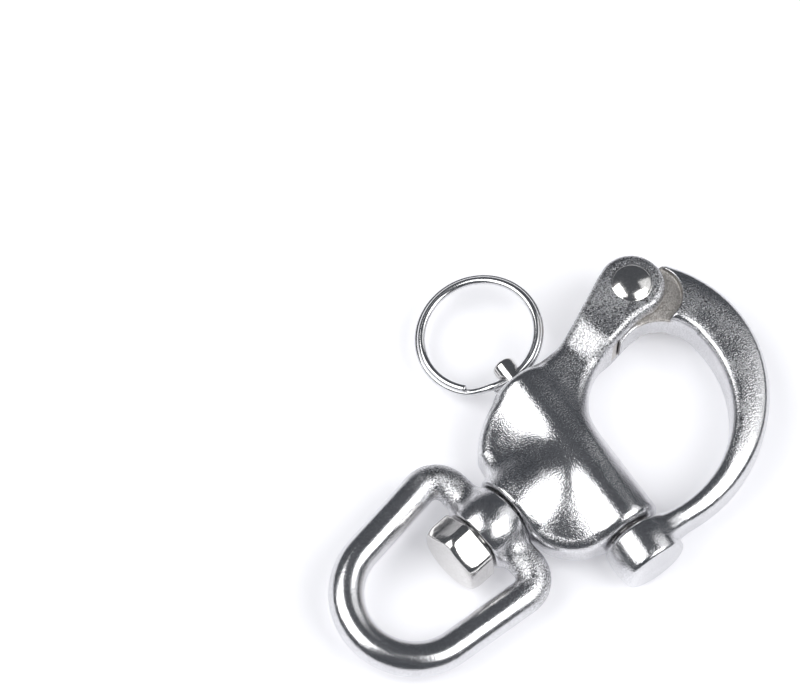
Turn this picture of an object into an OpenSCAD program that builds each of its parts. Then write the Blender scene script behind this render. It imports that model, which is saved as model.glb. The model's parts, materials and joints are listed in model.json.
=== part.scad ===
// Swivel-eye snap shackle, cast stainless steel, stored lying flat.
// A hinged jaw is locked shut by a sprung plunger with a split pull ring.
// An eye turns freely on a hex-headed bolt, on the line of the load.
//
// Sub-parts are drawn about the point where the plunger's axis crosses the load line,
// in the shackle's mid-plane: the plunger lies along Y, and Z is square to the mid-plane.
// place() then moves them so that the origin is under the middle of the whole shackle.

/* [Body casting] */
// Diameter of the plunger boss and of the jaw's barrel
boss_d = 9.5; // [9.3:0.1:9.7]
// Distance from the load line to the boss end that faces the jaw's barrel
boss_front = 13.3; // [13:0.1:13.5]
// Distance from the load line to the boss end that the tail comes out of
boss_back = 12; // [11.8:0.1:12.1]
// Diameter of the boss that the swivel bolt screws into
swivel_boss_d = 10.2; // [10:0.1:10.4]
// Distance from the plunger's axis to the swivel boss's end face
swivel_face = 11.9; // [11.7:0.1:12]
// Angle from square between the load line and the plunger
lean = 9.5; // [9:0.1:10]
// Thickness of the web between the bosses
web_t = 6.6; // [6:0.1:7.2]
// Thickness across the two hinge cheeks
cheek_t = 8.4; // [8.2:0.1:8.6]
// Radius of the rounded end of the cheeks
cheek_r = 4.5; // [4.4:0.05:4.55]

/* [Jaw] */
// Thickness of the jaw's bow
jaw_t = 6.4; // [6:0.1:6.8]
// Thickness of the tang between the cheeks
tang_t = 3.8; // [3.6:0.1:3.8]
// Radius of the jaw's outer edge
jaw_outer_r = 22.4; // [22.3:0.05:22.5]
// Radius of the jaw's inner edge
jaw_inner_r = 16.3; // [16.2:0.05:16.4]
// Length of the barrel that the plunger locks
barrel_l = 5.3; // [5:0.1:5.5]
// Thickness of the wall that closes the barrel's far end
barrel_end = 0.9; // [0.7:0.1:1.1]
// Gap between the body's boss and the barrel
barrel_gap = 0.6; // [0.4:0.1:0.7]

/* [Hinge rivet] */
// Diameter of the rivet's shank
rivet_d = 4; // [3.8:0.1:4.2]
// Diameter of the rivet's domed heads
rivet_head_d = 5.6; // [5.4:0.1:5.8]
// Height of each domed head
rivet_head_h = 0.8; // [0.7:0.05:0.8]
// Height of the straight wall round each head
rivet_wall = 0.25; // [0.2:0.05:0.35]

/* [Plunger and spring] */
// Diameter of the plunger's locking end
plunger_d = 5.6; // [5.4:0.1:5.6]
// Diameter of the plunger's tail
tail_d = 3.2; // [3.1:0.1:3.4]
// How far the plunger can be pulled back
travel = 6; // [5.6:0.1:6]
// Wire diameter of the spring
spring_wire = 0.6; // [0.5:0.05:0.6]
// Number of the spring's turns
spring_turns = 8; // [7:1:9]

/* [Pull ring] */
// Outside diameter of the split ring
ring_d = 17.3; // [17.1:0.1:17.5]
// Wire diameter of the split ring
ring_wire = 1.1; // [1:0.05:1.15]
// Angle that the ring droops by as it lies
ring_droop = 4; // [0:0.5:6]
// Angle that the plunger and its ring are turned by, about the plunger's axis, as they lie
ring_roll = 12; // [0:1:14]

/* [Swivel eye and bolt] */
// Wire diameter of the eye
eye_wire = 4.7; // [4.5:0.1:4.9]
// Radius of the eye's bow, to the middle of the wire
bow_r = 8.7; // [8.6:0.05:8.8]
// Distance from the plunger's axis to the centre of the bow
bow_centre = 28.5; // [28.3:0.1:28.7]
// Diameter of the collar that the bolt passes through
collar_d = 10.2; // [10:0.1:10.4]
// Length of the collar
collar_l = 5.7; // [5.6:0.1:5.8]
// Size of the bolt head across its flats
hex_flats = 8.9; // [8.7:0.1:8.9]
// Thickness of the bolt head
hex_h = 4.1; // [4:0.1:4.3]
// Angle that the eye is turned by on its bolt as it lies
eye_roll = 5; // [0:1:10]

/* [Hidden] */
$fn = 96;

// The middle of the whole shackle's box, from the crossing point
middle = [-4.33, 5.42];
// Running clearance on the radius of a turning or sliding fit
running = 0.05;
// Clearance of a part that is fixed in its hole
seated = 0.02;
// How far a cutting shape reaches past the face that it cuts
past = 1;

hinge = [20.1, 14.5];
jaw_outer_c = [8.4, 5.1];
jaw_shoulder_c = [12.4, 3.6];
jaw_shoulder_r = 18.1;
jaw_inner_c = [7.2, 1.9];
jaw_crook_c = [17.5, 3.6];
jaw_crook_r = 5.95;
relief_c = [21.6, 12.5];
relief_r = 4.5;
tang_r = 4.3;
slot_t = tang_t + 0.3;
slot_r = tang_r + 0.5;
jaw_clear_r = cheek_r + 0.35;

shoulder = -7;
bore_end = shoulder + travel + spring_turns * spring_wire + 3.2;
tip = -boss_front - barrel_gap - barrel_l + barrel_end + 0.4;
ring_hole = boss_back + 1.3;
ring_hole_d = 2.4;
tail_end = 16;
ring_r = (ring_d - ring_wire) / 2;

collar_front = -swivel_face - 0.3;
collar_back = collar_front - collar_l;
head_face = collar_back - 0.4;
bolt_shank_d = 6;
thread_d = 5;
thread_l = 6;
leg_turn = 3;
splay = 6.4;
// How far the leg's straight runs into the bends, which are 0.02 mm thicker all round
into_bend = 0.3;
shoulder_x = collar_front - eye_wire / 2 - 0.3;

steel = [0.72, 0.72, 0.72];
bright_steel = [0.78, 0.78, 0.8];
spring_steel = [0.6, 0.6, 0.62];

// Points of an arc about c, from angle a0 to angle a1
function arc(c, r, a0, a1, steps) =
    [for (i = [0:steps]) let (a = a0 + (a1 - a0) * i / steps) c + r * [cos(a), sin(a)]];

module place() {
    translate([-middle[0], -middle[1], swivel_boss_d / 2]) children();
}

// Turns a shape drawn along X onto the load line
module on_load_line() {
    rotate([0, 0, lean]) children();
}

// Turns a shape drawn along Z onto the plunger's axis
module on_plunger_axis(y) {
    translate([0, y, 0]) rotate([-90, 0, 0]) children();
}

// A slab centred on the mid-plane
module slab(t) {
    linear_extrude(height = t, center = true) children();
}

// ---- Body casting ----

// Web that joins the two bosses and carries the hinge arm
module web_outline() {
    polygon(concat(
        [[-11, 3.6], [-10.7, 6]],
        arc([0, -0.4], 12.5, 142, 92, 10),
        [[3, 12.3], [7, 13.2], [11, 14.7], [14, 16.3], [17, 18]],
        arc(hinge, cheek_r, 122, -100, 24),
        [[17, 9.9]],
        arc([15.5, -2.8], 11.9, 102, 166, 12),
        [[2.5, -boss_front], [-4, -boss_front]],
        arc([-4.2, -6.3], 6.95, 260, 190, 12)
    ));
}

// The two cheeks' plan shape: the arm's end, as far back as the dished part
module cheek_outline() {
    intersection() {
        web_outline();
        translate([11.6, 0]) square([20, 30]);
    }
}

module hinge_slot() {
    slab(slot_t) {
        translate(hinge) circle(r = slot_r);
        translate([hinge[0] - 6.2, 0]) square([20, hinge[1] - 3]);
    }
}

module body() {
    color(steel) place() difference() {
        union() {
            slab(web_t) web_outline();
            slab(cheek_t) cheek_outline();
            on_plunger_axis(-boss_front) cylinder(d = boss_d, h = boss_front + boss_back);
            on_load_line() translate([-swivel_face, 0, 0]) rotate([0, 90, 0])
                cylinder(d = swivel_boss_d, h = swivel_face);
        }
        on_plunger_axis(-boss_front - past)
            cylinder(d = plunger_d + 2 * running, h = boss_front + bore_end + past);
        on_plunger_axis(0) cylinder(d = tail_d + 2 * running, h = boss_back + 3);
        on_load_line() translate([-swivel_face - past, 0, 0]) rotate([0, 90, 0])
            cylinder(d = thread_d + 2 * seated, h = thread_l + past + 0.5);
        hinge_slot();
        translate([hinge[0], hinge[1], 0])
            cylinder(d = rivet_d + 2 * seated, h = cheek_t + past, center = true);
    }
}

// ---- Hinge rivet ----

// A shallow domed head with a straight wall, flat side down
module rivet_dome() {
    rise = rivet_head_h - rivet_wall;
    dome_r = (pow(rivet_head_d / 2, 2) + pow(rise, 2)) / (2 * rise);
    intersection() {
        translate([0, 0, rivet_head_h - dome_r]) sphere(r = dome_r);
        cylinder(d = rivet_head_d, h = rivet_head_h);
    }
}

module hinge_rivet() {
    color(bright_steel) place() translate([hinge[0], hinge[1], 0]) {
        cylinder(d = rivet_d, h = cheek_t, center = true);
        for (side = [0, 1]) mirror([0, 0, side]) translate([0, 0, cheek_t / 2]) rivet_dome();
    }
}

// ---- Jaw ----

// The bow, from the barrel round to the tang, whose tail reaches into the body's slot
module jaw_outline() {
    polygon(concat(
        arc(jaw_outer_c, jaw_outer_r, -94, -20, 30),
        arc(jaw_shoulder_c, jaw_shoulder_r, -19, 40, 24),
        [hinge, [14.6, 9.6]],
        arc(jaw_crook_c, jaw_crook_r, 123, 5, 24),
        arc(jaw_inner_c, jaw_inner_r, 8, -100, 40),
        [[2.5, -14.2], [2.5, -17.3]]
    ));
}

// What the full thickness keeps clear of: the cheeks, and the relief beside them
module cheek_room() {
    translate(hinge) circle(r = jaw_clear_r);
    translate(relief_c) circle(r = relief_r);
    translate([8, 8.4]) square([12, 14]);
}

module jaw() {
    color(steel) place() difference() {
        union() {
            slab(jaw_t) difference() {
                jaw_outline();
                cheek_room();
            }
            slab(tang_t) {
                intersection() {
                    jaw_outline();
                    translate([12, 7]) square([20, 20]);
                }
                translate(hinge) circle(r = tang_r);
            }
            on_plunger_axis(-boss_front - barrel_gap - barrel_l)
                cylinder(d = boss_d, h = barrel_l);
        }
        on_plunger_axis(-boss_front - barrel_gap - barrel_l + barrel_end)
            cylinder(d = plunger_d + 0.4, h = barrel_l);
        translate([hinge[0], hinge[1], 0])
            cylinder(d = rivet_d + 2 * running, h = jaw_t, center = true);
    }
}

// ---- Plunger, its spring and its ring ----

module plunger() {
    chamfer = 0.6;
    color(bright_steel) place() difference() {
        union() {
            on_plunger_axis(tip)
                cylinder(d1 = plunger_d - 2 * chamfer, d2 = plunger_d, h = chamfer);
            on_plunger_axis(tip + chamfer)
                cylinder(d = plunger_d, h = shoulder - tip - chamfer);
            on_plunger_axis(shoulder) cylinder(d = tail_d, h = tail_end - shoulder - 0.5);
            on_plunger_axis(tail_end - 0.5)
                cylinder(d1 = tail_d, d2 = tail_d - 1, h = 0.5);
        }
        rotate([0, -ring_roll, 0]) translate([0, ring_hole, 0]) rotate([0, 90, 0])
            cylinder(d = ring_hole_d, h = tail_d + 2 * past, center = true);
    }
}

// Points of one ring of the spring's wire, at turn t
function wire_ring(t, coil_r, y0, y1, sides) =
    let (a = 360 * t * spring_turns, y = y0 + (y1 - y0) * t)
    [for (j = [0:sides - 1]) let (b = 360 * j / sides, r = coil_r + spring_wire / 2 * cos(b))
        [r * cos(a), y + spring_wire / 2 * sin(b), r * sin(a)]];

module plunger_spring() {
    sides = 6;
    rings = spring_turns * 14;
    coil_r = (plunger_d - spring_wire) / 2 - 0.1;
    y0 = shoulder + spring_wire / 2;
    y1 = bore_end - spring_wire / 2;
    points = [for (i = [0:rings]) each wire_ring(i / rings, coil_r, y0, y1, sides)];
    walls = [for (i = [0:rings - 1]) for (j = [0:sides - 1])
        let (k = (j + 1) % sides, a = i * sides, b = a + sides) each
        [[a + j, a + k, b + k], [a + j, b + k, b + j]]];
    ends = [[for (j = [sides - 1:-1:0]) j], [for (j = [0:sides - 1]) rings * sides + j]];
    color(spring_steel) place() polyhedron(points = points, faces = concat(walls, ends));
}

module pull_ring() {
    color(bright_steel) place() rotate([0, -ring_roll, 0]) translate([0, ring_hole, 0])
        rotate([-ring_droop, 0, 0]) translate([0, ring_r, 0]) for (side = [-1, 1])
            translate([0, 0, side * ring_wire * 0.48]) rotate_extrude()
                translate([ring_r, 0]) circle(d = ring_wire, $fn = 32);
}

// ---- Swivel eye and its bolt ----

// One leg of the eye: the straight, and the turn in towards the collar
module eye_leg() {
    turn_x = shoulder_x - leg_turn;
    run = ((bow_centre + turn_x) + (bow_r - leg_turn) * sin(splay)) / cos(splay);
    turn_y = run * sin(splay) + (bow_r - leg_turn) * cos(splay);
    translate([-bow_centre, 0, 0]) rotate([0, 0, splay]) translate([-into_bend, bow_r, 0])
        rotate([0, 90, 0]) cylinder(d = eye_wire - 0.04, h = run + 2 * into_bend);
    translate([turn_x, turn_y, 0])
        rotate_extrude(angle = 90 + splay) translate([leg_turn, 0]) circle(d = eye_wire);
    translate([shoulder_x, 0, 0]) rotate([-90, 0, 0]) cylinder(d = eye_wire, h = turn_y);
}

module swivel_eye() {
    edge = 1;
    color(steel) place() on_load_line() rotate([eye_roll, 0, 0]) difference() {
        union() {
            translate([-bow_centre, 0, 0]) rotate([0, 0, 90 + splay])
                rotate_extrude(angle = 180 - 2 * splay)
                    translate([bow_r, 0]) circle(d = eye_wire);
            for (side = [0, 1]) mirror([0, side, 0]) eye_leg();
            translate([collar_back, 0, 0]) rotate([0, 90, 0]) {
                cylinder(d = collar_d, h = collar_l - edge);
                translate([0, 0, collar_l - edge])
                    cylinder(d1 = collar_d, d2 = collar_d - edge, h = edge);
            }
        }
        translate([collar_back - past, 0, 0]) rotate([0, 90, 0])
            cylinder(d = bolt_shank_d + 2 * running, h = collar_l + 2 * past);
    }
}

module swivel_bolt() {
    corner = 0.8;
    r = hex_flats / 2 / cos(30);
    color(bright_steel) place() on_load_line() rotate([-7.5, 0, 0]) rotate([0, 90, 0]) {
        translate([0, 0, head_face - hex_h]) intersection() {
            cylinder(r = r, h = hex_h, $fn = 6);
            union() {
                cylinder(r1 = r - corner, r2 = r, h = corner);
                translate([0, 0, corner]) cylinder(r = r, h = hex_h - corner);
            }
        }
        translate([0, 0, head_face])
            cylinder(d = bolt_shank_d, h = -swivel_face - seated - head_face);
        translate([0, 0, -swivel_face - seated]) cylinder(d = thread_d, h = thread_l);
    }
}

body();
hinge_rivet();
jaw();
plunger();
plunger_spring();
pull_ring();
swivel_eye();
swivel_bolt();
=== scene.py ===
# A swivel-eye snap shackle in cast stainless steel, lying flat on a pale table.
# The shackle's sizes are in millimetres, in its own drawing frame: the origin is where the plunger's
# axis crosses the line of the load, Y runs along the plunger, and Z = 0 is the mid-plane.
import json
import math

import bpy
import numpy as np
from mathutils import Matrix


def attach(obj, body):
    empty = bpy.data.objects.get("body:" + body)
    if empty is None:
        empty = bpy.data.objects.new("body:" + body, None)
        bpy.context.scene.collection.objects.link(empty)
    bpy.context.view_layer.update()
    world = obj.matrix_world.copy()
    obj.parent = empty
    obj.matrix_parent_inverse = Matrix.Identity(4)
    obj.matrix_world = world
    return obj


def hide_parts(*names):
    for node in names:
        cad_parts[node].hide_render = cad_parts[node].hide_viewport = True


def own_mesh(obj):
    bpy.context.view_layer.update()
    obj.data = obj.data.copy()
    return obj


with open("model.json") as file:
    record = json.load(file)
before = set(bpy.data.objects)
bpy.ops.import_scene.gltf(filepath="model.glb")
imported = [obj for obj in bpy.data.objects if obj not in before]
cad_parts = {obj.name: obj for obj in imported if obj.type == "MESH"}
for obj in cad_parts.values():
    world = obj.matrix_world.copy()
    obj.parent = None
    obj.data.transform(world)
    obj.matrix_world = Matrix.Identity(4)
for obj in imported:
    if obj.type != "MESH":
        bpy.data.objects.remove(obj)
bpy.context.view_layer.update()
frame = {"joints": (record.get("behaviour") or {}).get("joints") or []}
hinge_place = next(joint["pos_m"] for joint in frame["joints"] if joint["name"] == "jaw_hinge")
HINGE = np.array([20.1, 14.5])
drawing_origin = np.array(hinge_place) - np.array([*HINGE, 0]) / 1000

# ---- The table and the lights ----
# A matt white table top, and three large soft boxes over it: one to the viewer's left, and a near and a
# far one to the right. The room behind them is dark, and the polished steel shows it between them.
VIEW_AZIMUTH, VIEW_ELEVATION = math.radians(-34), math.radians(64)
view_right = np.array([math.cos(VIEW_AZIMUTH), math.sin(VIEW_AZIMUTH), 0])
view_away = np.array([-math.sin(VIEW_AZIMUTH), math.cos(VIEW_AZIMUTH), 0])
view_back = np.array([0, 0, 1]) * math.sin(VIEW_ELEVATION) - view_away * math.cos(VIEW_ELEVATION)


def stand(thing, side, top, back, place):
    """Puts the camera or a lamp at a place in metres, looking away from back."""
    rows = [[side[i], top[i], back[i], place[i]] for i in range(3)]
    thing.matrix_world = Matrix(rows + [[0, 0, 0, 1]])


camera = bpy.data.objects.new("camera", bpy.data.cameras.new("camera"))
bpy.context.scene.collection.objects.link(camera)
bpy.context.scene.camera = camera
camera.data.sensor_width, camera.data.lens = 36, 135
camera.data.clip_start, camera.data.clip_end = 0.01, 20
camera_place = drawing_origin + np.array([-0.10817, -0.12021, 0.36094])
stand(camera, view_right, np.cross(view_back, view_right), view_back, camera_place)

bpy.context.scene.view_settings.view_transform = "Standard"
room = bpy.data.worlds.new("room")
bpy.context.scene.world = room
room.use_nodes = True
room.node_tree.nodes["Background"].inputs["Color"].default_value = (0.85, 0.9, 1, 1)
room.node_tree.nodes["Background"].inputs["Strength"].default_value = 0.11


def soft_box(name, across, away, up, size, watts):
    """A square light that faces the shackle, placed by directions as the viewer sees them, in metres."""
    lamp = bpy.data.objects.new(name, bpy.data.lights.new(name, "AREA"))
    lamp.data.shape, lamp.data.size, lamp.data.energy = "SQUARE", size, watts
    place = view_right * across + view_away * away + np.array([0, 0, up])
    bpy.context.scene.collection.objects.link(lamp)
    back = place / np.linalg.norm(place)
    side = np.cross([0, 1, 0], back)
    side /= np.linalg.norm(side)
    stand(lamp, side, np.cross(back, side), back, place)


soft_box("left soft box", -0.29, -0.05, 0.36, 0.38, 1.5)
soft_box("near right soft box", 0.27, -0.13, 0.36, 0.34, 1.3)
soft_box("far right soft box", 0.36, 0.14, 0.33, 0.34, 0.34)

table_mesh = bpy.data.meshes.new("table")
table_mesh.from_pydata([(-3, -3, 0), (3, -3, 0), (3, 3, 0), (-3, 3, 0)], [], [(0, 1, 2, 3)])
table = bpy.data.objects.new("table", table_mesh)
bpy.context.scene.collection.objects.link(table)
white = bpy.data.materials.new("matt white")
white.use_nodes = True
matt = white.node_tree.nodes["Principled BSDF"].inputs
matt["Base Color"].default_value = (0.86, 0.86, 0.88, 1)
matt["Roughness"].default_value = 0.9
matt["Specular IOR Level"].default_value = 0.1
matt["Emission Color"].default_value = (0.96, 0.96, 1, 1)
matt["Emission Strength"].default_value = 0.3
table_mesh.materials.append(white)

# ---- Body casting ----
# One investment casting in stainless steel: the plunger's boss crosses the swivel's boss, a dished web
# fills the corners, and an arm rises to two cheeks that hold the jaw. It was tumbled until its high
# places shone, and the fine grain of the mould is left in its hollows.
LEAN = math.radians(9.5)
SLOT_HALF = 2.05


def on_load_line(x, y):
    """How far a point is along the line of the load, towards the jaw, and aside from it."""
    return x * math.cos(LEAN) + y * math.sin(LEAN), y * math.cos(LEAN) - x * math.sin(LEAN)


def arc(centre, radius, start, end, steps):
    """Points along an arc, angles in degrees."""
    turn = np.radians(np.linspace(start, end, steps + 1))
    return [(centre[0] + radius * math.cos(a), centre[1] + radius * math.sin(a)) for a in turn]


def reach(points, closed=True):
    """A function of x and y: the distance to a line of points, negative inside it if it is closed."""
    starts = np.array(points if closed else points[:-1], float)
    ends = np.array((*points[1:], points[0]) if closed else points[1:], float)

    def distance(x, y):
        shape = np.broadcast(x, y).shape
        nearest, inside = np.full(shape, 1e9), np.zeros(shape, bool)
        for (ax, ay), (bx, by) in zip(starts, ends):
            ex, ey = bx - ax, by - ay
            t = np.clip(((x - ax) * ex + (y - ay) * ey) / (ex * ex + ey * ey), 0, 1)
            nearest = np.minimum(nearest, (x - ax - t * ex) ** 2 + (y - ay - t * ey) ** 2)
            if closed:
                inside ^= ((ay > y) != (by > y)) & (x < ax + (y - ay) * ex / (ey or 1e-9))
        return np.where(inside, -1, 1) * np.sqrt(nearest)

    return distance


def melt(a, b, width):
    """Joins two solids with a soft fillet."""
    return np.minimum(a, b) - np.maximum(width - np.abs(a - b), 0) ** 2 / (4 * width)


def trim(a, b, width):
    """What two solids share, with the edge rounded off."""
    return -melt(-a, -b, width)


def rounded(side, end, rim):
    """A solid from its distance past a side face and past an end face, with the edge rounded."""
    a, b = side + rim, end + rim
    return np.minimum(np.maximum(a, b), 0) + np.hypot(np.maximum(a, 0), np.maximum(b, 0)) - rim


def ramp(value, low, high):
    """0 below low, 1 above high, smooth between."""
    t = np.clip((value - low) / (high - low), 0, 1)
    return t * t * (3 - 2 * t)


def skin(name, metal, low, high, cell, marks=None):
    """Makes a mesh of the surface where metal(x, y, z) is 0, with its true normals.
    marks(x, y, z) says how much of the mould's grain is left, and how far in a recess a point is; the recess is
    painted darker, partly as painted shade."""
    axes = [np.arange(a - 1.5 * cell, b + 1.5 * cell, cell) for a, b in zip(low, high)]
    x, y, z = axes[0][:, None, None], axes[1][None, :, None], axes[2][None, None, :]
    depth = metal(x, y, z)
    count = np.zeros([len(a) - 1 for a in axes], np.int32)
    total = np.zeros((*count.shape, 3))
    crossings = []
    for axis in range(3):
        first = depth[tuple(slice(0, -1) if i == axis else slice(None) for i in range(3))]
        last = depth[tuple(slice(1, None) if i == axis else slice(None) for i in range(3))]
        cut = (first < 0) != (last < 0)
        crossings.append((cut, first < 0))
        along = np.where(cut, first / np.where(cut, first - last, 1), 0) * cell
        for j in (0, 1):
            for k in (0, 1):
                ends = [slice(j, -1 if j == 0 else None), slice(k, -1 if k == 0 else None)]
                pick = tuple(slice(None) if i == axis else ends.pop(0) for i in range(3))
                here = cut[pick]
                count += here
                for i in range(3):
                    if i == axis:
                        place = axes[i][:-1].reshape([-1 if q == i else 1 for q in range(3)]) + along[pick]
                    else:
                        shift = (j if i == [q for q in range(3) if q != axis][0] else k)
                        span = axes[i][shift:len(axes[i]) - 1 + shift]
                        place = span.reshape([-1 if q == i else 1 for q in range(3)])
                    total[..., i] += np.where(here, place, 0)
    used = count > 0
    number = np.full(count.shape, -1)
    number[used] = np.arange(used.sum())
    points = total[used] / count[used][:, None]
    quads = []
    for axis, (cut, inward) in enumerate(crossings):
        u, v = (axis + 1) % 3, (axis + 2) % 3
        edges = np.argwhere(cut)
        edges = edges[(edges[:, u] > 0) & (edges[:, v] > 0)
                      & (edges[:, u] < count.shape[u]) & (edges[:, v] < count.shape[v])]
        corners = []
        for du, dv in ((1, 1), (0, 1), (0, 0), (1, 0)):
            cells = edges.copy()
            cells[:, u] -= du
            cells[:, v] -= dv
            corners.append(number[tuple(cells.T)])
        quad = np.stack(corners, 1)
        quads.append(np.where(inward[tuple(edges.T)][:, None], quad, quad[:, ::-1]))
    quads = np.concatenate(quads)

    def slope(p):
        step = 0.03
        return np.stack([(metal(*(p + step * e).T) - metal(*(p - step * e).T)) / (2 * step)
                         for e in np.eye(3)], 1)

    for _ in range(3):
        s = slope(points)
        move = metal(*points.T)[:, None] * s / np.maximum((s ** 2).sum(1), 0.05)[:, None]
        points = points - np.clip(move, -cell, cell)
    normals = slope(points)
    normals /= np.maximum(np.linalg.norm(normals, axis=1), 1e-6)[:, None]
    made = piece(name, points, quads, normals)
    if marks:
        left = made.data.attributes.new("mould_marks", "FLOAT_VECTOR", "POINT")
        grain, recess = marks(*points.T)
        left.data.foreach_set("vector", np.stack([grain, recess, 0 * grain], 1).ravel())
    return made


def piece(name, points, faces, normals=None):
    """A mesh object from points in millimetres in the drawing frame."""
    mesh = bpy.data.meshes.new(name)
    points = np.asarray(points, float) / 1000 + drawing_origin
    mesh.from_pydata(points.tolist(), [], faces.tolist() if isinstance(faces, np.ndarray) else faces)
    mesh.shade_smooth()
    if normals is not None:
        mesh.normals_split_custom_set_from_vertices(np.asarray(normals).tolist())
    made = bpy.data.objects.new(name, mesh)
    bpy.context.scene.collection.objects.link(made)
    return made


web_edge = reach([(-11, 3.6), (-10.7, 6)] + arc((0, -0.4), 12.5, 142, 92, 24)
                 + [(3, 12.3), (7, 13.2), (11, 14.7), (14, 16.3), (17, 18)]
                 + arc(HINGE, 4.5, 122, -100, 40) + [(17, 9.9)]
                 + arc((15.5, -2.8), 11.9, 102, 166, 30) + [(2.5, -13.3), (-4, -13.3)]
                 + arc((-4.2, -6.3), 6.95, 260, 190, 24))


def body_metal(x, y, z):
    up = np.abs(z)
    along, aside = on_load_line(x, y)
    floor = 2.6 + 1.6 * ramp(x + 0.25 * (y - 10), 8.2, 13)
    boss_ridge = np.exp(-(x / 4.2) ** 2)
    stub_ridge = 0.98 * np.exp(-(aside / 4.1) ** 2) * (1 - ramp(along, -2, 6))
    half = floor + 2.15 * (1 - (1 - boss_ridge) * (1 - stub_ridge))
    web = rounded(web_edge(x, y), up - half, 1.7 - 0.7 * ramp(x, 9, 13))
    boss = rounded(np.hypot(x, z) - 4.75, np.abs(y + 0.65) - 12.65, 1.1)
    stub_side = np.hypot(aside, z) - 4.98 + 0.02 * (along + 11.9) ** 2
    stub = rounded(stub_side, np.abs(along + 9.1) - 2.8, 0.5)
    metal = melt(melt(web, boss, 0.7), stub, 1.4)
    to_hinge = np.hypot(x - HINGE[0], y - HINGE[1])
    slot = np.minimum(to_hinge - 4.8, np.maximum(14.2 - x, y - 11.5))
    metal = trim(metal, -rounded(slot, up - SLOT_HALF, 0.1), 0.3)
    metal = trim(metal, 2.02 - to_hinge, 0.1)
    metal = trim(metal, -rounded(np.hypot(x, z) - 2.85, np.abs(y + 5) - 12, 0.1), 0.5)
    metal = trim(metal, 1.65 - np.hypot(x, z), 0.3)
    return trim(metal, -rounded(np.hypot(aside, z) - 2.52, np.abs(along + 9.4) - 4, 0.1), 0.3)


def body_grain_and_painted_shade(x, y, z):
    up = np.abs(z)
    grain = np.clip(0.22 + 0.25 * ramp(np.abs(x), 2, 6) + 0.65 * ramp(x, 5, 10), 0, 1)
    grain = grain * (0.3 + 0.7 * ramp(up, 1.5, 3))
    # The recess part gives a darker beige, partly painted shade, to every surface within 9 mm of the hinge near
    # the mid-plane. That is the slot between the cheeks and also the arm's outer wall beside it.
    return grain, (np.hypot(x - HINGE[0], y - HINGE[1]) < 9) * (up < SLOT_HALF + 0.1)


body = skin("body_casting", body_metal, (-12.5, -13.6, -5.2), (24.9, 19.3, 5.2), 0.24, body_grain_and_painted_shade)


class Socket:
    """One output of a material's nodes, that sums can be written with."""

    def __init__(self, tree, socket=None):
        self.tree, self.socket = tree, socket

    def node(self, kind, settings, inputs, output=0):
        made = self.tree.nodes.new("ShaderNode" + kind)
        for key, value in settings.items():
            if key == "stops":
                while len(made.color_ramp.elements) < len(value):
                    made.color_ramp.elements.new(0.5)
                for stop, (place, shade) in zip(made.color_ramp.elements, value):
                    stop.position, stop.color = place, (*shade, 1)
            else:
                setattr(made, key, value)
        for key, value in inputs.items():
            if isinstance(value, Socket):
                self.tree.links.new(value.socket, made.inputs[key])
            else:
                made.inputs[key].default_value = value
        return Socket(self.tree, made.outputs[output])

    def sum(self, operation, *values):
        return self.node("Math", {"operation": operation}, dict(enumerate(values)))

    def __add__(self, other):
        return self.sum("ADD", self, other)

    def __sub__(self, other):
        return self.sum("SUBTRACT", self, other)

    def __rsub__(self, other):
        return self.sum("SUBTRACT", other, self)

    def __mul__(self, other):
        return self.sum("MULTIPLY", self, other)

    __radd__, __rmul__ = __add__, __mul__


def steel(name, light, dark, smooth, rough, grain, grain_depth, cast=False):
    """Stainless steel whose polish, tone and grain change from place to place."""
    made = bpy.data.materials.new(name)
    made.use_nodes = True
    tree = made.node_tree
    shader = tree.nodes["Principled BSDF"]
    start = Socket(tree)
    at = start.node("TexCoord", {}, {}, "Object")
    wide = start.node("TexNoise", {}, {"Vector": at, "Scale": 260, "Detail": 3, "Roughness": 0.6})
    patchy = start.node("MapRange", {}, {"Value": wide, "From Min": 0.35, "From Max": 0.65})
    fine = start.node("TexNoise", {}, {"Vector": at, "Scale": grain, "Detail": 1, "Roughness": 0.5})
    speck = start.node("MapRange", {}, {"Value": fine, "From Min": 0.36, "From Max": 0.64})
    left = 0.4 * patchy
    polish = smooth + 0.05 * fine
    if cast:
        marks = start.node("Attribute", {"attribute_name": "mould_marks"}, {}, "Vector")
        left = (0.6 + 0.4 * patchy) * start.node("SeparateXYZ", {}, {"Vector": marks}, "X")
        recess = start.node("SeparateXYZ", {}, {"Vector": marks}, "Y")
        polish = polish + 0.2 * recess
    polish = polish + (rough - smooth) * left
    tone = start.node("ValToRGB", {"stops": [(0, dark), (1, light)]},
                      {"Fac": 0.72 + 0.1 * patchy + (speck - 0.5) * (0.08 + 0.95 * left) - 0.22 * left})
    if cast:
        # The recess mask mixes in a darker beige. It is partly the unpolished skin's own tint and partly
        # painted shade, in the slot between the cheeks and in the jaw's crescent.
        unpolished_tint_and_painted_shade = (0.5, 0.46, 0.41, 1)
        tone = start.node("Mix", {"data_type": "RGBA"}, {0: 0.6 * recess, 6: tone, 7: unpolished_tint_and_painted_shade}, 2)
    height = speck * (0.1 + 0.9 * left)
    bump = start.node("Bump", {}, {"Strength": 1, "Distance": grain_depth, "Height": height})
    shader.inputs["Metallic"].default_value = 1
    tree.links.new(tone.socket, shader.inputs["Base Color"])
    tree.links.new(polish.socket, shader.inputs["Roughness"])
    tree.links.new(bump.socket, shader.inputs["Normal"])
    return made


cast_steel = steel("tumbled_cast_steel", light=(0.86, 0.86, 0.88), dark=(0.12, 0.12, 0.12),
                   smooth=0.15, rough=0.28, grain=5200, grain_depth=0.000036, cast=True)
body.data.materials.append(cast_steel)
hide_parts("body")
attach(body, "body_casting")

# ---- Swivel bolt ----
# A hexagonal-headed bolt machined from stainless bar and polished, its head's far corners rounded off.
# It passes through the eye's collar with a running clearance and is screwed hard into the body.
HEX_TURN, HEX_FLATS = -7.5, 8.9


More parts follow.
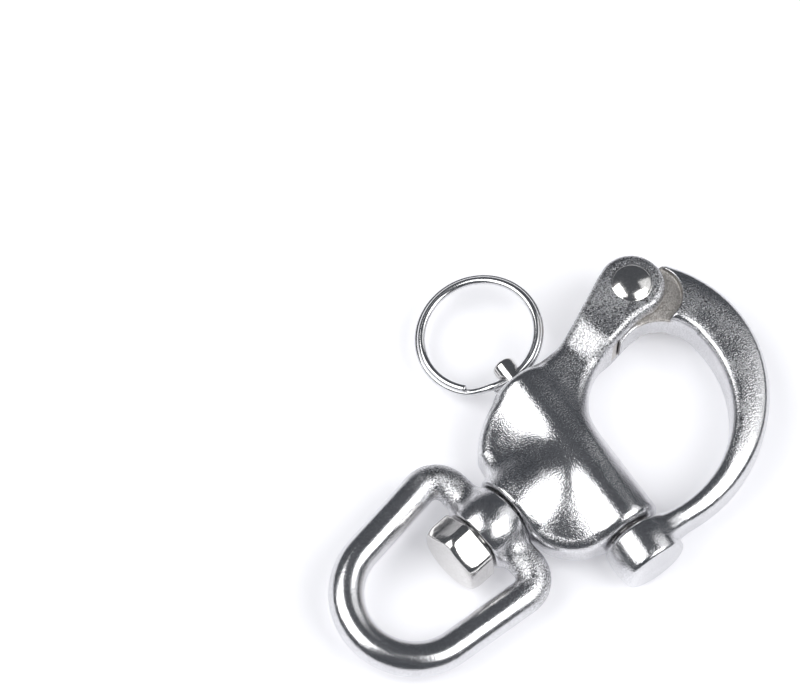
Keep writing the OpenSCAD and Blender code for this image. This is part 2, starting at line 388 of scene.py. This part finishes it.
def bolt_metal(x, y, z):
    along, aside = on_load_line(x, y)
    turns = [math.radians(HEX_TURN + 60 * k) for k in range(6)]
    faces = [aside * math.cos(a) + z * math.sin(a) - HEX_FLATS / 2 for a in turns]
    flats = faces[0]
    for face in faces[1:]:
        flats = trim(flats, face, 0.7)
    radius = np.hypot(aside, z)
    head = rounded(flats, np.abs(along + 20.35) - 2.05, 0.3)
    head = trim(head, (radius - 4.55 - (along + 22.4) * 0.9) * 0.75, 0.9)
    shank = rounded(radius - 3, np.abs(along + 15.5) - 3.58, 0.1)
    thread = rounded(radius - 2.5, np.abs(along + 10) - 4.07, 0.3)
    return np.minimum(melt(head, shank, 0.2), thread)


bolt = skin("swivel_bolt_polished", bolt_metal, (-24, -9, -5.2), (-4, 3, 5.2), 0.16)
turned_steel = steel("polished_turned_steel", light=(0.78, 0.77, 0.76), dark=(0.5, 0.49, 0.47),
                     smooth=0.1, rough=0.2, grain=3500, grain_depth=0.00001)
bolt.data.materials.append(turned_steel)
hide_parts("swivel_bolt")
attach(bolt, "body_casting")

# ---- Swivel eye ----
# A D-shaped loop of round section with a crowned collar, cast in one, that turns on the bolt's shank.
# The shoulders flow into the collar, and the mould's grain shows in the blends.
EYE_ROLL, EYE_WIRE, COLLAR_MIDDLE = math.radians(5), 2.33, -15.05
eye_line = reach(arc((-28.5, 0), 8.7, 180, 96.4, 60) + arc((-17.85, 6.93), 3, 96.4, 0, 30)
                 + [(-14.85, 0)], closed=False)


def eye_metal(x, y, z):
    along, aside = on_load_line(x, y)
    radius = np.hypot(aside, z)
    aside, z = (aside * math.cos(EYE_ROLL) + z * math.sin(EYE_ROLL),
                z * math.cos(EYE_ROLL) - aside * math.sin(EYE_ROLL))
    loop = np.hypot(eye_line(along, np.abs(aside)), z) - EYE_WIRE
    crown = 5.1 - 0.075 * (along - COLLAR_MIDDLE) ** 2
    collar = rounded(radius - crown, np.abs(along - COLLAR_MIDDLE) - 2.85, 0.3)
    metal = melt(loop, collar, 1.3)
    return trim(metal, -rounded(radius - 3.05, np.abs(along + 15) - 4, 0.1), 0.4)


def eye_marks(x, y, z):
    along, aside = on_load_line(x, y)
    shoulder = np.exp(-((along + 15.5) / 3.4) ** 2) * ramp(np.hypot(aside, z), 4.6, 6)
    return 0.1 + 0.9 * shoulder, 0 * x


eye = skin("swivel_eye_casting", eye_metal, (-39.4, -17.5, -5.2), (-8.5, 10.5, 5.2), 0.22, eye_marks)
eye.data.materials.append(cast_steel)
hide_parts("swivel_eye")
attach(eye, "eye")

# ---- Plunger ----
# The locking pin is turned from bar. Its thick end passes through the boss into the jaw's barrel, and
# its thin tail comes out at the back, where a cross hole takes the ring.
CROSS_HOLE, RING_ROLL = 13.3, math.radians(12)


def plunger_metal(x, y, z):
    radius = np.hypot(x, z)
    pin = rounded(radius - 2.8, np.abs(y + 12.45) - 5.45, 0.5)
    tail = rounded(radius - 1.6, np.abs(y - 4) - 12, 0.6)
    to_hole = np.hypot(y - CROSS_HOLE, z * math.cos(RING_ROLL) - x * math.sin(RING_ROLL))
    return trim(np.minimum(pin, tail), 1.2 - to_hole, 0.3)


plunger = skin("plunger_turned", plunger_metal, (-3, -19, -3), (3, 16.2, 3), 0.15)
plunger.data.materials.append(turned_steel)
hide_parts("plunger")
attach(plunger, "plunger")

# ---- Plunger spring ----
# A compression spring of 0.6 mm stainless wire, wound round the tail inside the boss, its end turns
# closed up. The real spring shortens as the plunger is pulled back; this mesh has one fixed length.
SPRING_TURNS, SPRING_LENGTH, PLUNGER_TRAVEL = 8, 14, 6


def wire(name, path, out, section):
    """A wire along a path: out is each point's outward direction, section the cut face's outline."""
    path, out = np.asarray(path, float), np.asarray(out, float)
    forward = np.gradient(path, axis=0)
    forward /= np.linalg.norm(forward, axis=1)[:, None]
    over = np.cross(forward, out)
    over /= np.linalg.norm(over, axis=1)[:, None]
    out = np.cross(over, forward)
    section = np.asarray(section, float)
    rings = path[:, None] + out[:, None] * section[None, :, :1] + over[:, None] * section[None, :, 1:]
    first = rings[0] * 0.8 + path[0] * 0.2 - forward[0] * 0.06
    last = rings[-1] * 0.8 + path[-1] * 0.2 + forward[-1] * 0.06
    rings = np.concatenate([[first], rings, [last]])
    n, m = len(rings), len(section)
    faces = []
    for i in range(n - 1):
        for j in range(m):
            k = (j + 1) % m
            faces.append((i * m + j, i * m + k, (i + 1) * m + k, (i + 1) * m + j))
    faces.append(tuple(range(m - 1, -1, -1)))
    faces.append(tuple((n - 1) * m + j for j in range(m)))
    return piece(name, rings.reshape(-1, 3), faces)


turns = np.linspace(0, SPRING_TURNS, SPRING_TURNS * 36 + 1)
climb = np.interp(turns, [0, 1, SPRING_TURNS - 1, SPRING_TURNS], [-6.7, -6.1, 6.1, 6.7])
spring_out = np.stack([np.cos(2 * np.pi * turns), 0 * turns, np.sin(2 * np.pi * turns)], 1)
spring_path = spring_out * 2.4 + climb[:, None] * np.array([0, 1, 0])
spring = wire("plunger_spring_wound", spring_path, spring_out,
              [(0.3 * math.cos(a), 0.3 * math.sin(a)) for a in np.radians(np.arange(0, 360, 36))])
spring_steel = steel("drawn_spring_wire", light=(0.66, 0.66, 0.68), dark=(0.4, 0.4, 0.41),
                     smooth=0.22, rough=0.3, grain=3000, grain_depth=0.000004)
spring.data.materials.append(spring_steel)
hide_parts("plunger_spring")
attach(spring, "body_casting")
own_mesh(spring)

# ---- Pull ring ----
# A split ring of 1.1 mm bright wire: one wire wound twice, with a short crossing between its cut ends,
# so that it can be threaded through the plunger's cross hole.
RING_DROOP, RING_SPLIT = math.radians(4), math.radians(236)
ring_across = np.array([math.cos(RING_ROLL), 0, math.sin(RING_ROLL)])
ring_over = np.array([-math.sin(RING_ROLL), 0, math.cos(RING_ROLL)])
ring_away = math.cos(RING_DROOP) * np.array([0, 1, 0]) - math.sin(RING_DROOP) * ring_over
ring_up = math.sin(RING_DROOP) * np.array([0, 1, 0]) + math.cos(RING_DROOP) * ring_over
spin = np.radians(np.arange(14, 720 - 13, 2))
level = (2 * ramp(spin, 2 * np.pi - 0.24, 2 * np.pi + 0.24) - 1)[:, None]
ring_out = (np.cos(spin + RING_SPLIT)[:, None] * ring_across
            + np.sin(spin + RING_SPLIT)[:, None] * ring_away)
ring_path = (np.array([0, CROSS_HOLE, 0]) + (8.12 - 0.2 * level) * (ring_away + ring_out)
             + 0.54 * level * ring_up)
ring_section = [(0.55 * math.cos(a), 0.53 * math.sin(a)) for a in np.radians(np.arange(0, 360, 20))]
ring = wire("pull_ring_split", ring_path, ring_out, ring_section)
ring_steel = steel("bright_ring_wire", light=(0.8, 0.8, 0.81), dark=(0.5, 0.5, 0.5),
                   smooth=0.12, rough=0.2, grain=2500, grain_depth=0.000005)
ring.data.materials.append(ring_steel)
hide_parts("pull_ring")
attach(ring, "ring")

# ---- Jaw ----
# The second casting: a curved jaw, crowned on both faces, with a thin tang between the body's cheeks and
# a bored barrel that the plunger locks. A crescent is cut away beside the cheeks so that it can swing.
RELIEF, BARREL_MIDDLE = (21.6, 12.5), -16.55
outer_line = arc((8.4, 5.1), 22.4, -94, -20, 50) + arc((12.4, 3.6), 18.1, -19, 40, 40)
inner_line = arc((17.5, 3.6), 5.95, 123, 5, 30) + arc((7.2, 1.9), 16.3, 8, -100, 60)
jaw_edge = reach(outer_line + [(20.1, 14.5), (14.35, 9.8)] + inner_line + [(2.5, -14.2), (2.5, -17.3)])
to_outer, to_inner = reach(outer_line, closed=False), reach(inner_line, closed=False)


def jaw_metal(x, y, z):
    up = np.abs(z)
    half = (3.2 - 1.1 * (1 - np.clip(to_outer(x, y) / 4.4, 0, 1)) ** 2
            - 0.5 * (1 - np.clip(to_inner(x, y) / 1.6, 0, 1)) ** 2)
    edge = jaw_edge(x, y)
    to_hinge = np.hypot(x - HINGE[0], y - HINGE[1])
    to_relief = np.hypot(x - RELIEF[0], y - RELIEF[1])
    room = np.minimum(np.minimum(to_hinge - 4.85, to_relief - 4.5),
                      rounded(np.abs(x - 14) - 6, np.abs(y - 15.4) - 7, 0.1))
    bow = trim(rounded(edge, up - half, 0.9), -room, 0.35)
    plate = np.minimum(to_relief - 5, np.maximum(x - 20.5, 7 - y))
    tang = rounded(np.minimum(np.maximum(edge, plate), to_hinge - 4.3), up - 1.9, 0.15)
    radius = np.hypot(x, z)
    crown = 4.75 - 0.045 * (y - BARREL_MIDDLE) ** 2
    barrel = rounded(radius - crown, np.abs(y - BARREL_MIDDLE) - 2.65, 0.5)
    metal = melt(melt(bow, tang, 0.3), barrel, 1.1)
    metal = trim(metal, -rounded(radius - 3, np.abs(y + 14.3) - 4, 0.1), 0.3)
    return trim(metal, 2.05 - to_hinge, 0.1)


def jaw_grain_and_painted_shade(x, y, z):
    face = ramp(to_outer(x, y), 0.5, 3.2) * ramp(to_inner(x, y), 0.2, 1.4)
    grain = 0.15 + 0.75 * face * (1 - ramp(-y, 12, 14.5))
    up = np.abs(z)
    # The recess is the tang's face in the crescent beside the cheeks. It gets more grain and the darker beige
    # that is partly painted shade.
    recess = (1 - ramp(np.hypot(x - RELIEF[0], y - RELIEF[1]), 4.5, 5)) * ramp(up, 1.5, 1.8)
    recess = recess * (1 - ramp(up, 2, 2.6))
    return np.maximum(grain, recess), recess


jaw = skin("jaw_casting", jaw_metal, (-5.1, -19.5, -5.1), (30.8, 19.3, 5.1), 0.24, jaw_grain_and_painted_shade)
jaw.data.materials.append(cast_steel)
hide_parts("jaw")
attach(jaw, "jaw")

# ---- Hinge rivet ----
# A plain stainless pin through cheeks and tang, both ends headed over into low polished domes.
DOME, HEAD_TOP = 5.6, 5.0
dome = [(DOME * math.sin(a), HEAD_TOP - DOME + DOME * math.cos(a))
        for a in np.linspace(0.004, math.asin(2.58 / DOME), 22)]
profile = dome + [(2.6, 4.34), (2.63, 4.3), (2.76, 4.27), (2.8, 4.23), (2.8, 4.19), (2.76, 4.17), (2.0, 4.17)]
profile = profile + [(r, -h) for r, h in reversed(profile)]
around = np.radians(np.arange(0, 360, 3))
n = len(around)
rivet_points = [(HINGE[0] + r * math.cos(a), HINGE[1] + r * math.sin(a), h) for r, h in profile for a in around]
rivet_faces = [(i * n + (j + 1) % n, i * n + j, (i + 1) * n + j, (i + 1) * n + (j + 1) % n)
               for i in range(len(profile) - 1) for j in range(n)]
rivet_faces += [tuple(range(n)), tuple((len(profile) - 1) * n + j for j in range(n - 1, -1, -1))]
rivet = piece("hinge_rivet_headed", rivet_points, rivet_faces)
rivet.data.materials.append(turned_steel)
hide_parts("hinge_rivet")
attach(rivet, "body_casting")
